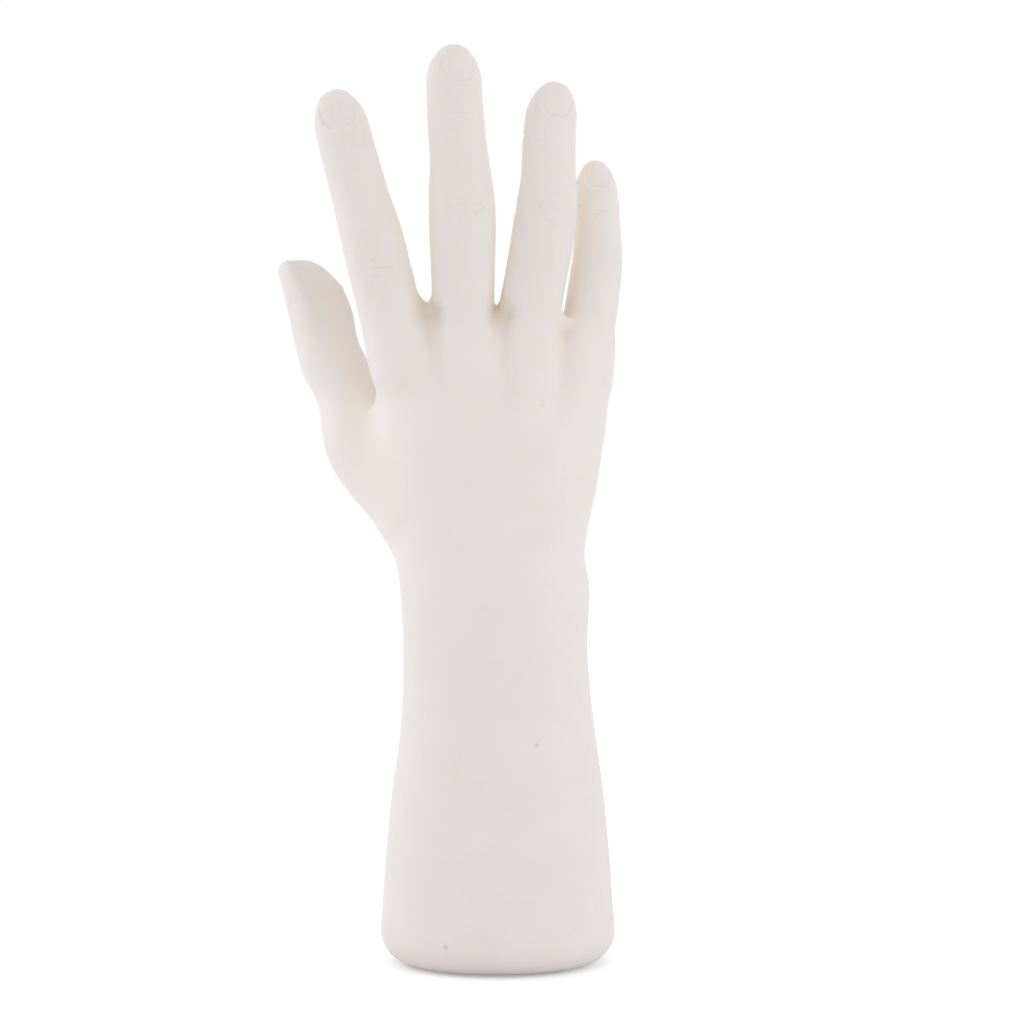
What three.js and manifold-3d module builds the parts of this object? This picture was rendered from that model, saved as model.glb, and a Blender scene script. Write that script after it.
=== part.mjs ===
// A display mannequin hand: a hollow moulded right hand that stands on its flared forearm.
// Millimetres. +Z up, the back of the hand faces -Y, the thumb points to -X.
// The origin is the centre of the foot's underside.
import * as THREE from 'three';
import { mergeVertices } from 'three/addons/utils/BufferGeometryUtils.js';
import { triTable } from 'three/addons/objects/MarchingCubes.js';
import Module from 'manifold-3d';

const wasm = await Module();
wasm.setup();

// Foot
const footWidth = 77.7;
const footDepth = 67;
const footFillet = 10;

// Forearm and hand, all heights above the ground
const broadestHeight = 12;
const flareHeight = 50;
const shankHeight = 80;
const waistHeight = 104;
const wristKnobHeight = 125;
const wristHeight = 138;
const heelHeight = 160;
const palmHeight = 180;
const knuckleHeight = 200;
const webHeight = 215.5;
const webRounding = 9;
const palmTilt = 5.5;

// Moulded skin
const wall = 3;
const lipThickness = 3;
const cavityHeight = 184;
const cavityRounding = 9;

// Cap, pad and the opening in the foot
const footLand = 4;
const padThickness = 1.6;
const padProud = 0.4;
const capFlangeThickness = 2;
const capFlangeReach = 3.6;
const capPlateThickness = 8;
const snapBeadReach = 0.8;
const snapBeadHeight = 1.6;
const fitGap = 0.3;
const shortestEdge = 0.05;

// Ballast and its screws
const ballastWidth = 39;
const ballastDepth = 23;
const ballastHeight = 34;
const screwSpacing = 22;
const screwRadius = 2;
const screwLength = 16;
const screwHeadRadius = 3.8;
const screwHeadHeight = 2.4;
const washerRadius = 4.4;
const washerThickness = 0.8;

// Facets of the skin: the spacing of the grid that it is drawn on, how much finer it is for the little finger, the
// grid's levels over the rounded foot, and the straight steps of a finger's bone line
const gridAcross = 4;
const gridUpHand = 4.6;
const gridUpForearm = 9;
const finerGrid = 0.93;
const footLevels = [-1, 1.2, 3.3, 6.2];
const boneSteps = 24;
const roomShare = 1.3;

// Facets of the other pieces: sides of the cavity, of a quarter of an oval and of a round bar, the spacing of the
// cavity's rings, and the rings over its rounded ends
const bodySides = 32;
const ovalSides = 18;
const barSides = 24;
const ringSpacing = 12;
const filletSteps = 4;
const overshoot = 1;

// Sections of the forearm and palm: how far the skin lies from the axis on each side, at each height.
// squareness is the power of the section's curve, 2 for an ellipse.
const sections = [
  { height: broadestHeight, thumbSide: footWidth / 2, littleSide: footWidth / 2, back: footDepth / 2,
    palm: footDepth / 2, squareness: 2.1 },
  { height: flareHeight, thumbSide: 36, littleSide: 35.8, back: 29.2, palm: 29.4, squareness: 2.1 },
  { height: shankHeight, thumbSide: 32.2, littleSide: 31.9, back: 24.6, palm: 24.9, squareness: 2.1 },
  { height: waistHeight, thumbSide: 31.6, littleSide: 29.8, back: 22.5, palm: 22.6, squareness: 2.15 },
  { height: wristKnobHeight, thumbSide: 32.4, littleSide: 30.5, back: 21.3, palm: 20.9, squareness: 2.2 },
  { height: wristHeight, thumbSide: 32.7, littleSide: 28.4, back: 20.7, palm: 18.8, squareness: 2.2 },
  { height: heelHeight, thumbSide: 33.5, littleSide: 31.9, back: 21.6, palm: 13.4, squareness: 2.3 },
  { height: palmHeight, thumbSide: 38, littleSide: 35.9, back: 22, palm: 7.8, squareness: 2.4 },
  { height: knuckleHeight, thumbSide: 40.4, littleSide: 37.6, back: 19.5, palm: 5.6, squareness: 2.5 },
  { height: webHeight, thumbSide: 40.8, littleSide: 38.4, back: 12.5, palm: 4.6, squareness: 2.5 },
];

// Each finger: its knuckle, the lengths of its bones to the fingertip, how far each leans to the little finger's
// side and curls to the palm (degrees), and half its width at six places from knuckle to tip, with the shares of it
// that the finger reaches to its back and to its pad. facing turns the nail about the finger's length, and blend is
// how wide the finger's foot spreads into the palm. The thumb's last bone is in two lengths, because it bends back
// upright. Each fingertip is rounded over tipCap, and tipSquareness is how much squarer than an oval its nail's
// side is.
const backShares = [1.02, 0.98, 0.98, 0.92, 0.88, 0.8];
const padShares = [1.02, 1.02, 0.96, 0.98, 0.9, 0.92];
const fingers = {
  index: {
    knuckle: [-29, -7.5, 189],
    bones: [53.3, 28.7, 23.1],
    lean: [-14, -15.8, -14],
    curl: [4.3, 10, 9],
    halfWidths: [10.5, 10.4, 10.2, 9.5, 9.35, 9.1],
    backShares,
    padShares,
    facing: -6,
    tipCap: 13,
    tipSquareness: 1.2,
    blend: 6,
  },
  middle: {
    knuckle: [-11.8, -9.5, 190],
    bones: [60.2, 34.1, 21.7],
    lean: [0, -4.2, -2.4],
    curl: [4.8, 8.6, 10],
    halfWidths: [10.6, 10.3, 11, 9.8, 9.4, 9.3],
    backShares,
    padShares,
    facing: 8,
    tipCap: 13,
    tipSquareness: 1.2,
    blend: 5,
  },
  ring: {
    knuckle: [5.3, -8.5, 189],
    bones: [60.9, 26.3, 18.7],
    lean: [10.2, 2.6, 6],
    curl: [5.7, 10, 10],
    halfWidths: [10.3, 10.2, 10.2, 9.1, 8.9, 8.7],
    backShares,
    padShares,
    facing: 12,
    tipCap: 13,
    tipSquareness: 1.2,
    blend: 5,
  },
  little: {
    knuckle: [26.1, -1.5, 186],
    bones: [49.6, 19.4, 16],
    lean: [8.6, 0, -2.7],
    curl: [11.4, 15, 14],
    halfWidths: [9.6, 9, 8.5, 7.9, 7.8, 7.5],
    backShares,
    padShares,
    facing: 8,
    tipCap: 13,
    tipSquareness: 1.2,
    blend: 5,
  },
  thumb: {
    knuckle: [-21, 5.5, 146],
    bones: [37.9, 31.5, 23.2, 13.4],
    lean: [-43.3, -20.4, -27.7, -14],
    curl: [12.2, 11, 4, 2],
    halfWidths: [13.5, 14, 12.8, 10.8, 11.2, 10.5],
    backShares: [1.02, 1, 1, 0.84, 0.99, 0.48],
    padShares: [1.02, 1.05, 1.08, 1.2, 0.99, 1.52],
    facing: -76,
    tipCap: 15,
    tipSquareness: 4,
    blend: 10,
  },
};
const rootCap = 9;

// Soft masses of the palm, under the thumb, the little finger and the other fingers: the middle and half sizes of
// each, and how wide it blends in
const mounds = [
  { middle: [-18.5, 5.5, 164], halfSizes: [19, 14, 34], blend: 16 },
  { middle: [13, 1.5, 165], halfSizes: [14, 14, 34], blend: 14 },
  { middle: [-3, -2.2, 199], halfSizes: [34, 9.5, 11], blend: 10 },
];
// How far the palm beside the little finger belongs to that finger's own solid, and how far it is drawn in there
const littleFingerReach = 7;
const littleFingerInset = 0.6;

// Colours
const skinWhite = 0xe9e6e3;
const padGrey = 0x3c3c3e;
const capWhite = 0xdcdad6;
const foamCream = 0xe6dcbc;
const ironGrey = 0x55575a;
const zincGrey = 0xb4b6ba;

// A curve through values at rising places, with slopes taken from the neighbours.
function smoothThrough(places, values, place) {
  const last = places.length - 1;
  const slope = (i) => {
    const before = Math.max(i - 1, 0);
    const after = Math.min(i + 1, last);
    return (values[after] - values[before]) / (places[after] - places[before]);
  };
  if (place <= places[0]) return values[0];
  if (place >= places[last]) return values[last] + slope(last) * (place - places[last]);
  const i = places.findIndex((p) => p > place) - 1;
  const span = places[i + 1] - places[i];
  const t = (place - places[i]) / span;
  const t2 = t * t;
  const t3 = t2 * t;
  return (2 * t3 - 3 * t2 + 1) * values[i] + (t3 - 2 * t2 + t) * span * slope(i)
    + (3 * t2 - 2 * t3) * values[i + 1] + (t3 - t2) * span * slope(i + 1);
}

// A closed skin over rings of points, each ring turning the same way, with a flat end at each end.
function loft(rings) {
  const sides = rings[0].length;
  const positions = rings.flat().flatMap((p) => p.toArray());
  const indices = [];
  for (let r = 0; r < rings.length - 1; r++) {
    for (let s = 0; s < sides; s++) {
      const a = r * sides + s;
      const b = r * sides + (s + 1) % sides;
      indices.push(a, b, b + sides, a, b + sides, a + sides);
    }
  }
  for (const [ring, flip] of [[0, true], [rings.length - 1, false]]) {
    const centre = rings[ring].reduce((sum, p) => sum.add(p), new THREE.Vector3()).divideScalar(sides);
    const hub = positions.length / 3;
    positions.push(...centre.toArray());
    for (let s = 0; s < sides; s++) {
      const a = ring * sides + s;
      const b = ring * sides + (s + 1) % sides;
      indices.push(...(flip ? [hub, b, a] : [hub, a, b]));
    }
  }
  const geometry = new THREE.BufferGeometry();
  geometry.setAttribute('position', new THREE.Float32BufferAttribute(positions, 3));
  geometry.setIndex(indices);
  return geometry;
}

function toSolid(geometry) {
  const bare = geometry.clone();
  bare.deleteAttribute('normal');
  bare.deleteAttribute('uv');
  const merged = mergeVertices(bare, 1e-4);
  return new wasm.Manifold(new wasm.Mesh({
    numProp: 3,
    vertProperties: new Float32Array(merged.attributes.position.array),
    triVerts: new Uint32Array(merged.index.array),
  }));
}

// The solid's surface, with the ends of each very short edge drawn together.
function toGeometry(solid) {
  const mesh = solid.getMesh();
  const points = mesh.vertProperties;
  const keep = Array.from({ length: points.length / 3 }, (_, i) => i);
  const root = (i) => {
    while (keep[i] !== i) i = keep[i];
    return i;
  };
  const distance = (a, b) => Math.hypot(...[0, 1, 2].map((k) => points[3 * a + k] - points[3 * b + k]));
  const corners = mesh.triVerts;
  for (let t = 0; t < corners.length; t += 3) {
    for (let e = 0; e < 3; e++) {
      const a = root(corners[t + e]);
      const b = root(corners[t + (e + 1) % 3]);
      if (a !== b && distance(a, b) < shortestEdge) keep[Math.max(a, b)] = Math.min(a, b);
    }
  }
  const indices = [];
  for (let t = 0; t < corners.length; t += 3) {
    const [a, b, c] = [0, 1, 2].map((k) => root(corners[t + k]));
    if (a !== b && b !== c && c !== a) indices.push(a, b, c);
  }
  const geometry = new THREE.BufferGeometry();
  geometry.setAttribute('position', new THREE.Float32BufferAttribute(points, 3));
  geometry.setIndex(indices);
  return geometry;
}

const radians = THREE.MathUtils.degToRad;
const sectionHeights = sections.map((s) => s.height);

// The forearm's or palm's section at a height.
function sectionAt(height) {
  const side = (name) => smoothThrough(sectionHeights, sections.map((s) => s[name]), height);
  return { thumbSide: side('thumbSide'), littleSide: side('littleSide'), back: side('back'), palm: side('palm'),
    squareness: side('squareness') };
}

// How far a point lies outside a shape with two rounded edges, from its distances to the two faces.
function roundedEdge(first, second, fillet) {
  const a = first + fillet;
  const b = second + fillet;
  return Math.min(Math.max(a, b), 0) + Math.hypot(Math.max(a, 0), Math.max(b, 0)) - fillet;
}

// The lesser of two distances, with the corner between them filled over the blend's width.
function blended(a, b, blend) {
  const near = Math.max(blend - Math.abs(a - b), 0) / blend;
  return Math.min(a, b) - near * near * blend / 4;
}

// How far a point lies outside the forearm and palm, without the palm's mounds.
function bodyDistance(p) {
  const section = sectionAt(p.z);
  const x = p.x / (p.x < 0 ? section.thumbSide : section.littleSide);
  const y = p.y / (p.y < 0 ? section.back : section.palm);
  const reach = Math.max((Math.abs(x) ** section.squareness + Math.abs(y) ** section.squareness)
    ** (1 / section.squareness), 1e-3);
  const side = Math.max(Math.hypot(p.x, p.y), 1e-3) * (1 - 1 / reach);
  const tilt = Math.tan(radians(palmTilt)) * THREE.MathUtils.smoothstep(p.z, heelHeight, webHeight);
  return Math.max(roundedEdge(side, skinLow - p.z, footFillet),
    roundedEdge(side, p.z + tilt * p.x - webHeight, webRounding));
}

function moundDistance(p, mound) {
  const q = p.clone().sub(new THREE.Vector3(...mound.middle));
  const reach = Math.max(q.clone().divide(new THREE.Vector3(...mound.halfSizes)).length(), 1e-3);
  return Math.max(q.length(), 1e-3) * (1 - 1 / reach);
}

// A finger's bone line from its knuckle to its fingertip, cut into short straight steps.
function boneLine(finger) {
  const joint = new THREE.Vector3(...finger.knuckle);
  const joints = [joint.clone()];
  finger.bones.forEach((length, i) => {
    const lean = radians(finger.lean[i]);
    const curl = radians(finger.curl[i]);
    const bone = new THREE.Vector3(Math.sin(lean) * Math.cos(curl), Math.sin(curl), Math.cos(lean) * Math.cos(curl));
    joint.addScaledVector(bone, length);
    joints.push(joint.clone());
  });
  const points = new THREE.CatmullRomCurve3(joints, false, 'centripetal').getSpacedPoints(boneSteps);
  const facing = radians(finger.facing);
  const nailSide = new THREE.Vector3(Math.sin(facing), -Math.cos(facing), 0);
  const steps = [];
  let start = 0;
  for (let i = 0; i < points.length - 1; i++) {
    const along = points[i + 1].clone().sub(points[i]);
    const length = along.length();
    along.normalize();
    const across = along.clone().cross(nailSide).normalize();
    steps.push({ from: points[i], along, across, up: across.clone().cross(along), length, start });
    start += length;
  }
  const total = finger.bones.reduce((sum, length) => sum + length, 0);
  const [first, second] = finger.bones;
  const places = [0, first / 2, first, first + second / 2, first + second, total - finger.tipCap]
    .map((place) => place / total * start);
  return { ...finger, joints, steps, length: start, places,
    backs: finger.halfWidths.map((w, i) => w * finger.backShares[i]),
    pads: finger.halfWidths.map((w, i) => w * finger.padShares[i]) };
}

// How far a point lies outside a finger.
function fingerDistance(p, line) {
  let nearest = Infinity;
  let found;
  line.steps.forEach((step, i) => {
    const offset = p.clone().sub(step.from);
    let along = offset.dot(step.along);
    if (i > 0) along = Math.max(along, 0);
    if (i < line.steps.length - 1) along = Math.min(along, step.length);
    const aside = offset.addScaledVector(step.along, -along);
    const distance = aside.length();
    if (distance < nearest) {
      nearest = distance;
      found = { step, aside, place: step.start + along };
    }
  });
  const { step, aside, place } = found;
  const across = aside.dot(step.across);
  const up = aside.dot(step.up);
  const tipStart = line.places[5];
  const at = THREE.MathUtils.clamp(place, 0, tipStart);
  const halfWidth = smoothThrough(line.places, line.halfWidths, at);
  const halfDepth = smoothThrough(line.places, up > 0 ? line.backs : line.pads, at);
  const beyond = place > tipStart ? place - tipStart : Math.min(place - rootCap, 0);
  const cap = place > tipStart ? line.tipCap : rootCap;
  const round = Math.max(Math.hypot(across / halfWidth, up / halfDepth), 1e-3);
  const nailward = place > tipStart ? (Math.max(up, 0) / halfDepth / round) ** 2 : 0;
  const power = 2 + line.tipSquareness * nailward;
  const reach = Math.max((round ** power + Math.abs(beyond / cap) ** power) ** (1 / power), 1e-3);
  return Math.max(Math.hypot(across, up, beyond), 1e-3) * (1 - 1 / reach);
}

const lines = Object.fromEntries(Object.entries(fingers).map(([name, finger]) => [name, boneLine(finger)]));

// How far a point lies outside the forearm and palm without their fingers.
function palmDistance(p) {
  return mounds.reduce((distance, mound) => blended(distance, moundDistance(p, mound), mound.blend),
    bodyDistance(p));
}

// How far a point lies outside the hand, all but the little finger.
function handDistance(p) {
  const palm = palmDistance(p);
  return Math.min(...['thumb', 'index', 'middle', 'ring']
    .map((name) => blended(palm, fingerDistance(p, lines[name]), lines[name].blend)));
}

// How far a point lies outside the little finger and the palm round its foot.
function littleFingerDistance(p) {
  const finger = fingerDistance(p, lines.little);
  return Math.max(blended(palmDistance(p) + littleFingerInset, finger, lines.little.blend),
    finger - littleFingerReach);
}

// Equal steps of about the spacing from low to high.
function gridLevels(low, high, spacing) {
  const count = Math.ceil((high - low) / spacing);
  return Array.from({ length: count + 1 }, (_, i) => low + (high - low) * i / count);
}

// Whole multiples of the spacing, past low and high.
function gridMultiples(low, high, spacing) {
  const first = Math.floor(low / spacing);
  const count = Math.ceil(high / spacing) - first;
  return Array.from({ length: count + 1 }, (_, i) => (first + i) * spacing);
}

// A box that holds some fingers with room to spare.
function roomRound(names) {
  const room = new THREE.Box3();
  for (const name of names) {
    const { joints, halfWidths } = lines[name];
    const bones = new THREE.Box3().setFromPoints(joints);
    room.union(bones.expandByScalar(Math.max(...halfWidths) * roomShare));
  }
  return room;
}

// The surface where a distance is nought, drawn on a grid. Each patch of surface in a cell of the grid gives one
// point, moved onto the surface, and each grid edge that crosses the surface joins four of them.
function surfaceOf(distance, xs, ys, zs) {
  const [nx, ny] = [xs.length, ys.length];
  const index = (i, j, k) => i + nx * (j + ny * k);
  const values = new Float64Array(nx * ny * zs.length);
  zs.forEach((z, k) => ys.forEach((y, j) => xs.forEach((x, i) => {
    values[index(i, j, k)] = distance(new THREE.Vector3(x, y, z));
  })));
  const corners = [[0, 0, 0], [1, 0, 0], [1, 1, 0], [0, 1, 0], [0, 0, 1], [1, 0, 1], [1, 1, 1], [0, 1, 1]];
  const edges = [[0, 1], [1, 2], [3, 2], [0, 3], [4, 5], [5, 6], [7, 6], [4, 7], [0, 4], [1, 5], [2, 6], [3, 7]];
  const positions = [];
  const around = new Map();
  const step = 0.05;
  const onSurface = (p) => {
    for (let round = 0; round < 2; round++) {
      const here = distance(p);
      const slope = new THREE.Vector3(...[[step, 0, 0], [0, step, 0], [0, 0, step]]
        .map((offset) => (distance(p.clone().add(new THREE.Vector3(...offset))) - here) / step));
      p.addScaledVector(slope, -here / Math.max(slope.lengthSq(), 0.25));
    }
    return p;
  };
  for (let k = 0; k < zs.length - 1; k++) {
    for (let j = 0; j < ny - 1; j++) {
      for (let i = 0; i < nx - 1; i++) {
        const at = corners.map(([a, b, c]) => index(i + a, j + b, k + c));
        const inside = at.reduce((bits, n, corner) => bits | (values[n] < 0) << corner, 0);
        if (inside === 0 || inside === 255) continue;
        const patches = [];
        for (let t = 16 * inside; triTable[t] !== -1; t += 3) {
          const crossed = new Set([triTable[t], triTable[t + 1], triTable[t + 2]]);
          for (let n = patches.length - 1; n >= 0; n--) {
            if ([...patches[n]].some((edge) => crossed.has(edge))) {
              patches.splice(n, 1)[0].forEach((edge) => crossed.add(edge));
            }
          }
          patches.push(crossed);
        }
        for (const patch of patches) {
          const middle = new THREE.Vector3();
          for (const edge of patch) {
            const [a, b] = edges[edge];
            const [start, end] = [a, b].map((n) => new THREE.Vector3(
              xs[i + corners[n][0]], ys[j + corners[n][1]], zs[k + corners[n][2]]));
            middle.add(start.lerp(end, values[at[a]] / (values[at[a]] - values[at[b]])));
            const key = `${at[a]} ${at[b]}`;
            if (!around.has(key)) around.set(key, {});
            around.get(key)[edge] = positions.length / 3;
          }
          positions.push(...onSurface(middle.divideScalar(patch.size)).toArray());
        }
      }
    }
  }
  // The grid edge's number in each of the four cells round it, going round
  const turns = { [index(1, 0, 0)]: [0, 2, 6, 4], [index(0, 1, 0)]: [3, 7, 5, 1], [index(0, 0, 1)]: [8, 9, 10, 11] };
  const point = (n) => new THREE.Vector3(...positions.slice(3 * n, 3 * n + 3));
  const indices = [];
  for (const [key, cells] of around) {
    const [a, b] = key.split(' ').map(Number);
    const ring = turns[b - a].map((edge) => cells[edge]);
    if (values[a] > 0) ring.reverse();
    const [p, q, r, t] = ring;
    if (point(p).distanceTo(point(r)) < point(q).distanceTo(point(t))) indices.push(p, q, r, p, r, t);
    else indices.push(q, r, t, q, t, p);
  }
  const geometry = new THREE.BufferGeometry();
  geometry.setAttribute('position', new THREE.Float32BufferAttribute(positions, 3));
  geometry.setIndex(indices);
  return geometry;
}

// The room inside the skin: rings of the forearm and palm drawn in by inset, rounded at both ends. depthShare
// flattens the top rings, where the palm is thin.
function insideShape(low, high, inset, lowFillet, highFillet) {
  const ringAt = (height, extra, depthShare) => {
    const section = sectionAt(height);
    const power = 2 / section.squareness;
    const middle = (section.palm - section.back) / 2;
    const ring = [];
    for (let s = 0; s < bodySides; s++) {
      const angle = 2 * Math.PI * s / bodySides;
      const c = Math.cos(angle);
      const d = Math.sin(angle);
      const halfWidth = (c < 0 ? section.thumbSide : section.littleSide) - inset - extra;
      const halfDepth = (d < 0 ? section.back : section.palm) - inset - extra;
      const y = Math.sign(d) * Math.abs(d) ** power * halfDepth;
      ring.push(new THREE.Vector3(Math.sign(c) * Math.abs(c) ** power * halfWidth,
        middle + (y - middle) * depthShare, height));
    }
    return ring;
  };
  const rings = [];
  for (let i = 0; i < filletSteps; i++) {
    const angle = Math.PI / 2 * i / filletSteps;
    rings.push(ringAt(low + lowFillet * (1 - Math.cos(angle)), lowFillet * (1 - Math.sin(angle)), 1));
  }
  const straight = high - highFillet - low - lowFillet;
  const steps = Math.round(straight / ringSpacing);
  for (let i = 0; i <= steps; i++) {
    rings.push(ringAt(low + lowFillet + straight * i / steps, 0, 1));
  }
  for (let i = 1; i <= filletSteps; i++) {
    const angle = Math.PI / 2 * i / (filletSteps + 0.4);
    rings.push(ringAt(high - highFillet * (1 - Math.sin(angle)), highFillet * (1 - Math.cos(angle)) / 3,
      Math.cos(angle)));
  }
  return toSolid(loft(rings));
}

// A flat oval block between two heights.
function ovalBlock(halfWidth, halfDepth, low, high) {
  const outline = new THREE.Shape();
  outline.absellipse(0, 0, halfWidth, halfDepth, 0, 2 * Math.PI);
  const geometry = new THREE.ExtrudeGeometry(outline, {
    depth: high - low, bevelEnabled: false, curveSegments: ovalSides,
  });
  geometry.translate(0, 0, low);
  return toSolid(geometry);
}

// An upright round bar between two heights.
function roundBar(radius, low, high, x) {
  const geometry = new THREE.CylinderGeometry(radius, radius, high - low, barSides);
  geometry.rotateX(Math.PI / 2);
  geometry.translate(x, 0, (low + high) / 2);
  return toSolid(geometry);
}

// Heights and half sizes that the foot's pieces share
const skinLow = padProud;
const flatHalfWidth = footWidth / 2 - footFillet;
const flatHalfDepth = footDepth / 2 - footFillet;
const recessHalfWidth = flatHalfWidth - footLand;
const recessHalfDepth = flatHalfDepth - footLand;
const flangeLow = padThickness;
const flangeHigh = flangeLow + capFlangeThickness;
const mouthHalfWidth = recessHalfWidth - capFlangeReach;
const mouthHalfDepth = recessHalfDepth - capFlangeReach;
const lipHigh = flangeHigh + lipThickness;
const capHigh = flangeLow + capPlateThickness;
const ballastLow = capHigh;
const ballastHigh = ballastLow + ballastHeight;
const screwXs = [-screwSpacing / 2, screwSpacing / 2];
const washerLow = flangeLow + screwHeadHeight + fitGap;
const washerHigh = washerLow + washerThickness;
const screwHigh = washerLow + screwLength;

function handSkin() {
  const room = roomRound(Object.keys(fingers));
  sections.forEach(({ thumbSide, littleSide, back, palm }) => {
    room.expandByPoint(new THREE.Vector3(-thumbSide, -back, 0));
    room.expandByPoint(new THREE.Vector3(littleSide, palm, 0));
  });
  const xs = gridMultiples(room.min.x - gridAcross / 2, room.max.x + gridAcross / 2, gridAcross);
  const ys = gridMultiples(room.min.y - gridAcross / 2, room.max.y + gridAcross / 2, gridAcross);
  const zs = [...footLevels.map((level) => skinLow + level),
    ...gridLevels(skinLow + footFillet, waistHeight, gridUpForearm),
    ...gridLevels(waistHeight + gridUpHand, room.max.z, gridUpHand)];
  const hand = toSolid(surfaceOf(handDistance, xs, ys, zs));
  const little = roomRound(['little']).expandByScalar(littleFingerReach);
  const [littleXs, littleYs] = ['x', 'y'].map((k) => gridMultiples(little.min[k], little.max[k],
    gridAcross * finerGrid));
  const littleFinger = toSolid(surfaceOf(littleFingerDistance, littleXs, littleYs,
    gridMultiples(little.min.z, little.max.z, gridUpHand * finerGrid)));
  const solid = hand.add(littleFinger);
  const cavity = insideShape(lipHigh, cavityHeight, wall, footFillet - wall, cavityRounding);
  const recess = ovalBlock(recessHalfWidth, recessHalfDepth, skinLow - overshoot, flangeHigh);
  const mouth = ovalBlock(mouthHalfWidth, mouthHalfDepth, skinLow - overshoot, lipHigh + overshoot);
  return solid.subtract(cavity).subtract(recess).subtract(mouth);
}

function footCap() {
  const flange = ovalBlock(recessHalfWidth - fitGap, recessHalfDepth - fitGap, flangeLow, flangeHigh);
  const spigot = ovalBlock(mouthHalfWidth - fitGap, mouthHalfDepth - fitGap, flangeLow, capHigh);
  const bead = ovalBlock(mouthHalfWidth + snapBeadReach, mouthHalfDepth + snapBeadReach,
    lipHigh + fitGap, lipHigh + fitGap + snapBeadHeight);
  let solid = flange.add(spigot).add(bead);
  for (const x of screwXs) {
    solid = solid.subtract(roundBar(washerRadius + fitGap, flangeLow - overshoot, washerHigh, x));
    solid = solid.subtract(roundBar(screwRadius + fitGap, flangeLow - overshoot, capHigh + overshoot, x));
  }
  return solid;
}

function basePad() {
  return ovalBlock(recessHalfWidth - fitGap, recessHalfDepth - fitGap, 0, padThickness);
}

function ballastWeight() {
  let solid = ovalBlock(ballastWidth / 2, ballastDepth / 2, ballastLow, ballastHigh);
  for (const x of screwXs) {
    solid = solid.subtract(roundBar(screwRadius + fitGap, ballastLow - overshoot, screwHigh + fitGap, x));
  }
  return solid;
}

function capScrew(x) {
  const head = roundBar(screwHeadRadius, washerLow - screwHeadHeight, washerLow, x);
  const shank = roundBar(screwRadius, washerLow - screwHeadHeight / 2, screwHigh, x);
  return head.add(shank);
}

function capWasher(x) {
  const disc = roundBar(washerRadius, washerLow, washerHigh, x);
  return disc.subtract(roundBar(screwRadius + fitGap, washerLow - overshoot, washerHigh + overshoot, x));
}

function foamCore() {
  const filling = insideShape(lipHigh + fitGap, cavityHeight - fitGap, wall + fitGap, footFillet - wall - fitGap,
    cavityRounding);
  const capRoom = ovalBlock(mouthHalfWidth + snapBeadReach + fitGap, mouthHalfDepth + snapBeadReach + fitGap,
    lipHigh - overshoot, capHigh + fitGap);
  const ballastRoom = ovalBlock(ballastWidth / 2 + fitGap, ballastDepth / 2 + fitGap, lipHigh, ballastHigh + fitGap);
  return filling.subtract(capRoom).subtract(ballastRoom);
}

function material(color, roughness, metalness) {
  return new THREE.MeshStandardMaterial({ color, roughness, metalness });
}

const hand = new THREE.Group();

function addPiece(name, solid, finish) {
  const mesh = new THREE.Mesh(toGeometry(solid), finish);
  mesh.name = name;
  hand.add(mesh);
}

addPiece('hand_skin', handSkin(), material(skinWhite, 0.55, 0));
addPiece('foam_core', foamCore(), material(foamCream, 0.9, 0));
addPiece('ballast_weight', ballastWeight(), material(ironGrey, 0.6, 1));
addPiece('foot_cap', footCap(), material(capWhite, 0.5, 0));
addPiece('base_pad', basePad(), material(padGrey, 0.95, 0));
['left', 'right'].forEach((side, i) => {
  addPiece(`cap_screw_${side}`, capScrew(screwXs[i]), material(zincGrey, 0.35, 1));
  addPiece(`cap_washer_${side}`, capWasher(screwXs[i]), material(zincGrey, 0.35, 1));
});

export default hand;
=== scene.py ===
import bmesh
import bpy
import numpy as np
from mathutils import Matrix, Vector

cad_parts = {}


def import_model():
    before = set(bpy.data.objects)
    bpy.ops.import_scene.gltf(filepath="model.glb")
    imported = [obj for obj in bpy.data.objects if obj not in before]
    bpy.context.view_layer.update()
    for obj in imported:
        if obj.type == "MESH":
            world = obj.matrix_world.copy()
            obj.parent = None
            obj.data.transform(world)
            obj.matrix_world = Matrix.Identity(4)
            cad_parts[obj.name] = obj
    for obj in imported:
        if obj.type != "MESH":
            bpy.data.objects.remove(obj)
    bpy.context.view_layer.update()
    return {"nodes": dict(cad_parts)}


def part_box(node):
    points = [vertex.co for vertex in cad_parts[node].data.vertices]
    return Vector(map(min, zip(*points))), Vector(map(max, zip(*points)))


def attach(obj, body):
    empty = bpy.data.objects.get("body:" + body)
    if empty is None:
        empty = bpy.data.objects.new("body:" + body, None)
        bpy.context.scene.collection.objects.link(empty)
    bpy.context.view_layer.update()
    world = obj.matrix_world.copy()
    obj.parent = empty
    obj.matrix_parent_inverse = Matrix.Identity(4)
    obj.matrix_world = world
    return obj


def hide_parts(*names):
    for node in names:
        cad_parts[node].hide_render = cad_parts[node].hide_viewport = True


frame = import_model()

MM = 0.001

# Foot
FOOT_WIDTH = 77.7
FOOT_DEPTH = 67.0
FOOT_FILLET = 10.0

# Forearm and hand, all heights above the ground
BROADEST_HEIGHT = 12.0
FLARE_HEIGHT = 50.0
SHANK_HEIGHT = 80.0
WAIST_HEIGHT = 104.0
WRIST_KNOB_HEIGHT = 125.0
WRIST_HEIGHT = 138.0
HEEL_HEIGHT = 160.0
PALM_HEIGHT = 180.0
KNUCKLE_HEIGHT = 200.0
WEB_HEIGHT = 215.5
WEB_ROUNDING = 9.0
PALM_TILT = 5.5

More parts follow.
